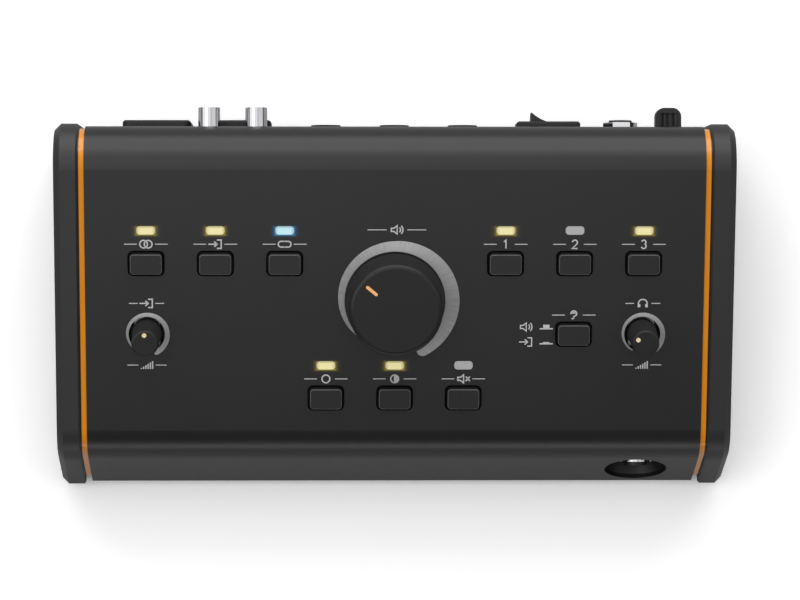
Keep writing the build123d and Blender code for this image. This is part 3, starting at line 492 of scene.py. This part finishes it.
# Painted sheen: the ring's colour is lighter near 12 o'clock and darker round 3 and 9 o'clock, as the lamps would
# light its brushing.
painted_sheen = ring_metal.node(
    "ShaderNodeValToRGB",
    {
        "stops": [
            (0.0, (0.28, 0.28, 0.285, 1)),
            (0.2, (0.31, 0.31, 0.315, 1)),
            (0.49, (0.5, 0.5, 0.505, 1)),
            (0.8, (0.27, 0.27, 0.275, 1)),
            (1.0, (0.38, 0.38, 0.385, 1)),
        ]
    },
    {"Fac": around},
)
soft_light = {"data_type": "RGBA", "blend_type": "SOFT_LIGHT"}
sheen_and_brushing = ring_metal.node("ShaderNodeMix", soft_light, {0: 0.5, 6: painted_sheen, 7: brushing}, 2)
ring_metal.vary("Base Color", sheen_and_brushing)
ring_metal.vary("Roughness", 0.36 + (brushing - 0.5) * 0.2)
ring_metal.bump(brushing, 0.01 * MM)


def along_knots(knots, at):
    """The value at a place on the straight lines through the knots, each a place and a value."""
    for (first, low), (second, high) in zip(knots, knots[1:]):
        if at <= second:
            return low + (high - low) * (at - first) / (second - first)
    return knots[-1][1]


def crescent(name, turn, ring_start, ring_end, inner_radius, outer_radii):
    """A thin ring that widens clockwise; the outer radii are given at angles from 12 o'clock."""
    middle = place_on_panel(turn["pos_m"])

    # Angle, how far past it in half widths, and the share of the width, round both ends and between.
    stations = []
    for step in range(cap_steps):
        stations.append((ring_start, -cos(pi / 2 * step / cap_steps), sin(pi / 2 * step / cap_steps)))
    for step in range(ring_steps + 1):
        stations.append((ring_start + (ring_end - ring_start) * step / ring_steps, 0.0, 1.0))
    for step in reversed(range(cap_steps)):
        stations.append((ring_end, cos(pi / 2 * step / cap_steps), sin(pi / 2 * step / cap_steps)))

    def fill(shape):
        arc_map = shape.loops.layers.uv.new("arc")
        sections = []
        for angle, past, share in stations:
            outer_radius = along_knots(outer_radii, angle) * MM
            radius = (inner_radius + outer_radius) / 2
            half = (outer_radius - inner_radius) / 2
            direction = clock(angle + past * half / radius * 180 / pi)
            width = max(half * share, 2 * ring_edge)
            shoulder = ring_thickness - ring_edge
            corners = [(-width, 0), (-width, shoulder), (-width + ring_edge, ring_thickness)]
            corners += [(width - ring_edge, ring_thickness), (width, shoulder), (width, 0)]
            points = []
            for out, lift in corners:
                reach = radius + out
                point = on_panel(middle[0] + direction[0] * reach, middle[1] + direction[1] * reach, lift)
                points.append(shape.verts.new(point))
            sections.append((angle, points))
        strips = len(sections[0][1]) - 1
        for (angle, first), (next_angle, second) in zip(sections, sections[1:]):
            for low in range(strips):
                face = shape.faces.new((first[low], second[low], second[low + 1], first[low + 1]))
                turns = [(each - ring_start) / (ring_end - ring_start) for each in (angle, next_angle)]
                marks = ((0, low), (1, low), (1, low + 1), (0, low + 1))
                for loop, (end, height) in zip(face.loops, marks):
                    loop[arc_map].uv = (turns[end], height / strips)
        for _, points in (sections[0], sections[-1]):
            shape.faces.new(points)

    return new_piece(name, fill, ring_metal)


# Angles from 12 o'clock and outer radii in millimetres.
main_ring_radii = [(-140, 19.2), (-120, 20.3), (-105, 20.9), (-90, 21.4), (-70, 21.9), (-30, 22.6)]
main_ring_radii += [(0, 22.95), (30, 23.6), (60, 24.2), (90, 24.35), (120, 24.2), (160, 23.9)]
small_ring_radii = [(-160, 7.35), (-90, 7.8), (-60, 8.0), (0, 8.25), (60, 8.6), (160, 8.85)]
crescent("main_level_ring", main_turn, -137.0, 150.5, 19.0 * MM, main_ring_radii)
crescent("aux_level_ring", aux_turn, -148.0, 152.0, 6.8 * MM, small_ring_radii)
crescent("phones_level_ring", phones_turn, -148.0, 152.0, 6.8 * MM, small_ring_radii)

# ---- saddle in the cable hook ---------------------------------------------------------------------

saddle_inset = 1.5 * MM  # from the hook's outline
saddle_gap = 0.1 * MM  # behind the rear panel
saddle_drop = 0.6 * MM  # of its ends below the hook's top
saddle_sag = 1.4 * MM
saddle_sheet = 1.2 * MM
saddle_ribs = 4
rib_height = 0.35 * MM
steps_per_rib = 8


def cable_saddle(shape):
    """A sagging web between the hook's legs, ribbed to hold the cable."""
    low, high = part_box("cable_hook")
    left, right = low.x + saddle_inset, high.x - saddle_inset
    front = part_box("rear_panel")[1].y + saddle_gap
    rear = high.y - saddle_inset
    steps = steps_per_rib * saddle_ribs
    rows = []
    for step in range(steps + 1):
        share = step / steps
        rib = rib_height * abs(sin(pi * saddle_ribs * share))
        top = high.z - saddle_drop - saddle_sag * sin(pi * share) + rib
        under = top - saddle_sheet - rib
        x = left + (right - left) * share
        corners = [(front, top), (rear, top), (rear, under), (front, under)]
        rows.append([shape.verts.new((x, y, z)) for y, z in corners])
    for first, second in zip(rows, rows[1:]):
        for corner in range(4):
            after = (corner + 1) % 4
            shape.faces.new((first[corner], second[corner], second[after], first[after]))
    shape.faces.new(rows[0])
    shape.faces.new(rows[-1])


new_piece("cable_hook_saddle", cable_saddle, black_plastic)

# ---- printed marks --------------------------------------------------------------------------------

ink_thickness = 0.03 * MM
ink_stroke = 0.5 * MM
thin_stroke = 0.42 * MM
rule_stroke = 0.32 * MM
sharpest_side = 0.4  # keeps the sides of a stroke from running apart in a sharp corner
sharpest_mitre = 0.5

white_ink = Finish("white_ink")
speckle = white_ink.noise(0.12 * MM, 2)
white_ink.vary("Base Color", white_ink.blend(speckle, grey(0.46), grey(0.6)))
white_ink.vary("Roughness", 0.55 + (speckle - 0.5) * 0.15)
white_ink.bump(speckle, 0.004 * MM)


def arc(x, y, radius, start, end, steps=14):
    """Points on an arc, in degrees clockwise from the top."""
    turns = [start + (end - start) * step / steps for step in range(steps + 1)]
    return [(x + radius * clock(turn)[0], y + radius * clock(turn)[1]) for turn in turns]


def ring(x, y, radius):
    return arc(x, y, radius, 0, 360, 24)


# Each mark is a list of strokes, and each stroke a run of points in millimetres about the mark's middle.
one = [[(-0.7, 0.9), (0.1, 1.6), (0.1, -1.6)]]
two = [arc(0, 0.65, 0.95, -80, 120) + [(-1.0, -1.6), (1.05, -1.6)]]
three = [arc(-0.05, 0.8, 0.8, -75, 165, 12), arc(-0.05, -0.7, 0.9, 15, 255, 12)]
two_rings = [ring(-0.85, 0, 1.45), ring(0.85, 0, 1.45)]
one_ring = [ring(0, 0, 1.5)]
half_disc = [ring(0, 0, 1.5), [(0, 1.5), (0, -1.5)], [(0.45, 1.3), (0.45, -1.3)], [(0.9, 1.05), (0.9, -1.05)]]
arrow_in = [
    [(-2.6, 0), (0.7, 0)],
    [(-0.4, 1.0), (0.7, 0), (-0.4, -1.0)],
    [(0.6, 1.6), (2.2, 1.6), (2.2, -1.6), (0.6, -1.6)],
]
linked = [
    arc(-1.3, 0, 1.1, 180, 360, 10) + [(0.2, 1.1)],
    [(-1.3, -1.1), (0.2, -1.1)],
    arc(1.3, 0, 1.1, 0, 180, 10) + [(-0.2, -1.1)],
    [(1.3, 1.1), (-0.2, 1.1)],
]
horn = [(-2.1, 0.6), (-1.1, 0.6), (0.1, 1.6), (0.1, -1.6), (-1.1, -0.6), (-2.1, -0.6), (-2.1, 0.6)]
speaker = [horn, arc(0.1, 0, 1.25, 45, 135, 8), arc(0.1, 0, 2.15, 45, 135, 10)]
silent = [horn, [(0.9, 0.85), (2.5, -0.85)], [(0.9, -0.85), (2.5, 0.85)]]
headphones = [
    arc(0, -0.1, 1.65, -90, 90, 16),
    [(-1.65, -0.1), (-1.65, -1.5)],
    [(1.65, -0.1), (1.65, -1.5)],
    [(-1.15, -0.3), (-1.15, -1.5)],
    [(1.15, -0.3), (1.15, -1.5)],
]
ear = [
    arc(0, 0.5, 1.1, -100, 120, 12) + [(0.1, -0.5), (-0.1, -1.3), (-0.8, -1.5)],
    arc(0, 0.5, 0.45, -90, 90, 8),
]
rising_bars = [[(-2.1 + 0.84 * n, -1.5), (-2.1 + 0.84 * n, -1.1 + 0.52 * n)] for n in range(6)]
key_in = [[(-2.5, -0.7), (2.5, -0.7)], [(-1.2, -0.3), (1.2, -0.3)]]
key_out = key_in + [[(-1.2, 0.15), (1.2, 0.15)], [(-1.2, 0.6), (1.2, 0.6)]]


def stroke_ribbon(shape, points, width):
    """Lays one stroke on the panel as a thin ribbon with mitred corners."""
    closed = hypot(points[0][0] - points[-1][0], points[0][1] - points[-1][1]) < width / 4
    if closed:
        points = points[:-1]
    count = len(points)
    edges = []
    for index, (x, y) in enumerate(points):
        before = points[index - 1] if closed or index else None
        after = points[(index + 1) % count] if closed or index < count - 1 else None
        sides = []
        for first, second in ((before, (x, y)), ((x, y), after)):
            if first is not None and second is not None:
                run = hypot(second[0] - first[0], second[1] - first[1])
                sides.append((-(second[1] - first[1]) / run, (second[0] - first[0]) / run))
        side = (sum(each[0] for each in sides), sum(each[1] for each in sides))
        length = max(hypot(*side), sharpest_side)
        side = (side[0] / length, side[1] / length)
        spread = width / 2 / max(side[0] * sides[0][0] + side[1] * sides[0][1], sharpest_mitre)
        edges.append([(x + way * side[0] * spread, y + way * side[1] * spread) for way in (-1, 1)])
    rows = []
    for left, right in edges:
        corners = ((left, 0.0), (left, ink_thickness), (right, ink_thickness), (right, 0.0))
        rows.append([shape.verts.new(on_panel(*point, lift)) for point, lift in corners])
    pairs = zip(rows, rows[1:] + rows[:1]) if closed else zip(rows, rows[1:])
    for first, second in pairs:
        for low in range(3):
            shape.faces.new((first[low], second[low], second[low + 1], first[low + 1]))
    if not closed:
        shape.faces.new(rows[0])
        shape.faces.new(rows[-1])


def printed(name, strokes, right, up, half_width=0.0, gap=0.0, width=ink_stroke):
    """Prints a mark about a place on the panel, between two fine rules where a half width is given."""

    def fill(shape):
        for points in strokes:
            stroke_ribbon(shape, [(right + x * MM, up + y * MM) for x, y in points], width)
        if half_width:
            for side in (-1, 1):
                rule = [(right + side * gap, up), (right + side * half_width, up)]
                stroke_ribbon(shape, rule if side > 0 else rule[::-1], rule_stroke)

    return new_piece(name, fill, white_ink)


label_above_key = 7.7 * MM
label_rules = (8.2 * MM, 3.4 * MM)  # half width and half gap
key_marks = {
    "stereo_key": two_rings,
    "aux_key": arrow_in,
    "pair_key": linked,
    "output_1_key": one,
    "output_2_key": two,
    "output_3_key": three,
    "mono_key": one_ring,
    "dim_key": half_disc,
    "mute_key": silent,
    "listen_key": ear,
}
for key, strokes in key_marks.items():
    right, up = key_place(key)
    printed(key + "_mark", strokes, right, up + label_above_key, *label_rules)

main_mark_right, main_mark_up = 0.6 * MM, 27.3 * MM
main_mark_rules = (11.0 * MM, 3.9 * MM)
printed("main_level_mark", speaker, main_mark_right, main_mark_up, *main_mark_rules)

# What is heard with the listen key out and in, to the left of the key.
listen_symbol_right = 57.2 * MM
listen_source_right = 49.5 * MM
for name, symbol, source, up in (("out", key_out, speaker, -10.0 * MM), ("in", key_in, arrow_in, -15.8 * MM)):
    printed("listen_" + name + "_symbol", symbol, listen_symbol_right, up)
    printed("listen_" + name + "_source", source, listen_source_right, up, width=thin_stroke)

small_dial_label = 11.9 * MM  # above and below the dial's middle
small_mark_rules = (6.6 * MM, 3.3 * MM)
small_bars_rules = (7.4 * MM, 3.3 * MM)
for name, turn, strokes in (("aux", aux_turn, arrow_in), ("phones", phones_turn, headphones)):
    right, up = place_on_panel(turn["pos_m"])
    printed(name + "_level_mark", strokes, right, up + small_dial_label, *small_mark_rules)
    printed(name + "_bars_mark", rising_bars, right, up - small_dial_label, *small_bars_rules)

# ---- table and tent -------------------------------------------------------------------------------


def room_object(name, vertices, faces, material):
    mesh = bpy.data.meshes.new(name)
    mesh.from_pydata(vertices, [], faces)
    mesh.materials.append(material)
    thing = bpy.data.objects.new(name, mesh)
    bpy.context.collection.objects.link(thing)
    return thing


def room_paint(name, albedo, to_camera, to_mirrors, glow=0.0):
    """White paint, brighter to the camera and in mirrors than to the other light. It may glow too."""
    paint = Paint(name)
    shade = albedo
    for ray, brighter in (
        ("Is Camera Ray", to_camera),
        ("Is Glossy Ray", to_mirrors),
        ("Is Transmission Ray", to_mirrors),
    ):
        shade = shade + (brighter - albedo) * paint.node("ShaderNodeLightPath", output=ray)
    matt = paint.node("ShaderNodeBsdfDiffuse", None, {"Color": shade})
    lift = paint.node("ShaderNodeEmission", None, {"Strength": glow})
    paint.cover(paint.node("ShaderNodeAddShader", None, {0: matt, 1: lift}))
    return paint.material


table_reach = 4.0
wall_height = 2.2
wall_sides = 64
table_white = room_paint("table_white", 0.42, 1.25, 0.5)
wall_white = room_paint("wall_white", 0.5, 1.2, 0.5, glow=0.05)
table_edge = [[table_reach * share for share in clock(360 * n / wall_sides)] for n in range(wall_sides)]
room_object("table", [(x, y, 0.0) for x, y in table_edge], [range(wall_sides)], table_white)
wall_points = [(x, y, z) for z in (0.0, wall_height) for x, y in table_edge]
wall_faces = []
for n in range(wall_sides):
    after = (n + 1) % wall_sides
    wall_faces.append((n, after, wall_sides + after, wall_sides + n))
room_object("tent_wall", wall_points, wall_faces, wall_white)

# ---- lamps and camera -----------------------------------------------------------------------------

object_middle = (0, 0, 0.05)


def soft_box(name, place, aim, size, brightness):
    """A lamp with a wide soft face of the given brightness, turned to a point."""
    lamp = bpy.data.lights.new(name, "AREA")
    lamp.shape = "RECTANGLE"
    lamp.size, lamp.size_y = size
    lamp.energy = brightness * pi * size[0] * size[1]
    holder = bpy.data.objects.new(name, lamp)
    bpy.context.collection.objects.link(holder)
    holder.location = place
    holder.rotation_euler = (Vector(aim) - Vector(place)).to_track_quat("-Z", "Y").to_euler()
    holder.visible_camera = False
    return holder


soft_box("rear_bank", (0.0, 1.6, 0.75), object_middle, (3.0, 1.5), 2.1)
soft_box("rear_top_box", (0.0, 1.0, 1.5), object_middle, (1.8, 0.8), 1.5)
soft_box("left_bank", (-1.45, 0.1, 1.45), object_middle, (1.3, 2.0), 1.25)
soft_box("right_bank", (1.45, 0.1, 1.45), object_middle, (1.3, 2.0), 0.85)
soft_box("top_box", (-0.45, -0.08, 1.75), (-0.45, -0.08, 0), (1.8, 1.3), 1.12)
soft_box("front_bank", (0.0, -2.0, 0.45), object_middle, (2.6, 0.35), 2.4)

tent_light = 0.14
world = bpy.data.worlds.new("tent")
world.use_nodes = True
world.node_tree.nodes["Background"].inputs["Color"].default_value = (1, 1, 1, 1)
world.node_tree.nodes["Background"].inputs["Strength"].default_value = tent_light
bpy.context.scene.world = world

camera_height = 1.4  # above the panel
camera_left = 0.03  # of the object's middle
panel_middle_up = 0.4 * MM  # of the main dial's centre
pixels_across = 800
pixels_per_metre = 2656  # at the panel
frame_shift = 5  # pixels, the object's middle left of the picture's middle
sensor = 36.0

lens = bpy.data.cameras.new("camera")
lens.sensor_width = sensor
lens.lens = sensor * pixels_per_metre * camera_height / pixels_across
camera = bpy.data.objects.new("camera", lens)
bpy.context.collection.objects.link(camera)
camera.location = on_panel(0, panel_middle_up) + Vector((-camera_left, 0, camera_height))
camera.rotation_euler = (0, -atan2(camera_left + frame_shift / pixels_per_metre, camera_height), 0)
bpy.context.scene.camera = camera
bpy.context.scene.view_settings.view_transform = "Standard"
